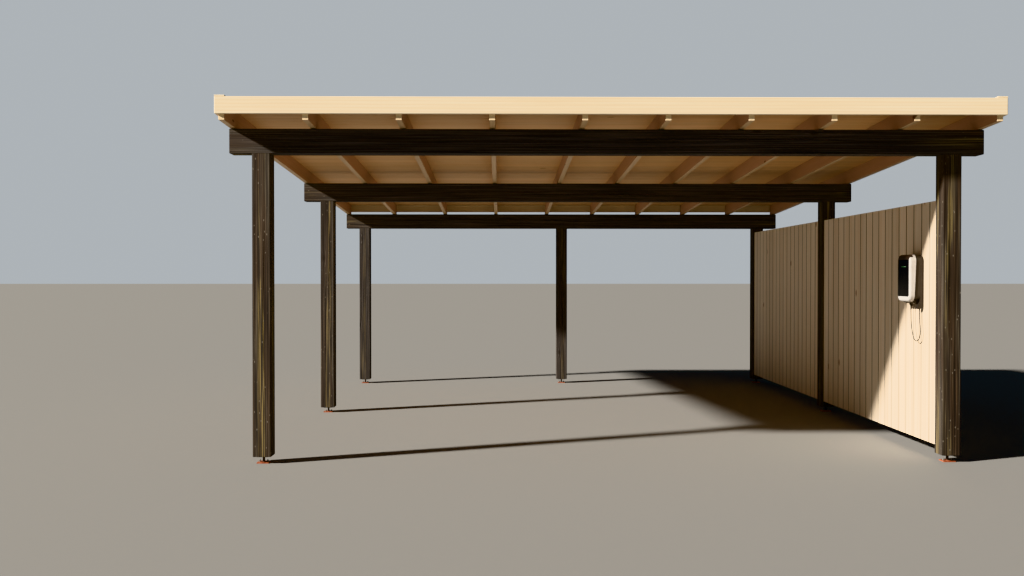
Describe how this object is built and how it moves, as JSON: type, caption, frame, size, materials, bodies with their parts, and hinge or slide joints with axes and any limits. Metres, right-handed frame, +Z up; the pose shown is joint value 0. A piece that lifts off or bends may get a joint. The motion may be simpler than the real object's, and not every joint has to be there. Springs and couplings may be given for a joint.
{
  "type": "carport",
  "caption": "Open timber carport with a single-pitch boarded roof on dark posts and cross beams, a boarded wall along one side and a car charger hung on it",
  "frame": {"origin": "on the ground under the middle of the roof's outline, in the plane of the post anchors' base plates", "axes": "+X to the right as seen from the entrance, +Y from the entrance to the back, +Z up"},
  "size_m": [6.05, 6.495, 2.8674],
  "materials": {
    "stained_timber": "weathered dark stain over coarse softwood grain, olive and ochre streaks on the posts",
    "planed_pine": "planed bare softwood, warm where the roof shades it",
    "fascia_pine": "planed pale pine boards",
    "wall_pine": "planed upright pine boards with narrow shadow joints",
    "primed_steel": "orange-red primer on steel, matt",
    "roofing_felt": "dark mineral-surfaced roofing felt",
    "light_plastic": "off-white moulded plastic, satin",
    "dark_plastic": "charcoal moulded plastic, fine texture",
    "panel_gloss": "black glossy front panel",
    "plug_rubber": "black soft plastic",
    "cable_rubber": "dark cable sheath, satin"
  },
  "bodies": {
    "root": {"bargeboard_left": "fascia_pine", "bargeboard_right": "fascia_pine", "beam_front": "stained_timber", "beam_middle": "stained_timber", "beam_rear": "stained_timber", "charger_cable": "cable_rubber", "charger_cover": "light_plastic", "charger_housing": "dark_plastic", "charger_panel": "panel_gloss", "charger_plug": "plug_rubber", "edge_cap_left": "fascia_pine", "edge_cap_right": "fascia_pine", "fascia_front": "fascia_pine", "fascia_rear": "fascia_pine", "post_anchor_front_left": "primed_steel", "post_anchor_front_right": "primed_steel", "post_anchor_middle_left": "primed_steel", "post_anchor_middle_right": "primed_steel", "post_anchor_rear_centre": "primed_steel", "post_anchor_rear_left": "primed_steel", "post_anchor_rear_right": "primed_steel", "post_front_left": "stained_timber", "post_front_right": "stained_timber", "post_middle_left": "stained_timber", "post_middle_right": "stained_timber", "post_rear_centre": "stained_timber", "post_rear_left": "stained_timber", "post_rear_right": "stained_timber", "rafter_01": "planed_pine", "rafter_02": "planed_pine", "rafter_03": "planed_pine", "rafter_04": "planed_pine", "rafter_05": "planed_pine", "rafter_06": "planed_pine", "rafter_07": "planed_pine", "rafter_08": "planed_pine", "rafter_09": "planed_pine", "rafter_10": "planed_pine", "roof_deck": "planed_pine", "roof_felt": "roofing_felt", "wall_boards_front": "wall_pine", "wall_boards_rear": "wall_pine", "wall_rails_front": "planed_pine", "wall_rails_rear": "planed_pine"}
  },
  "joints": []
}
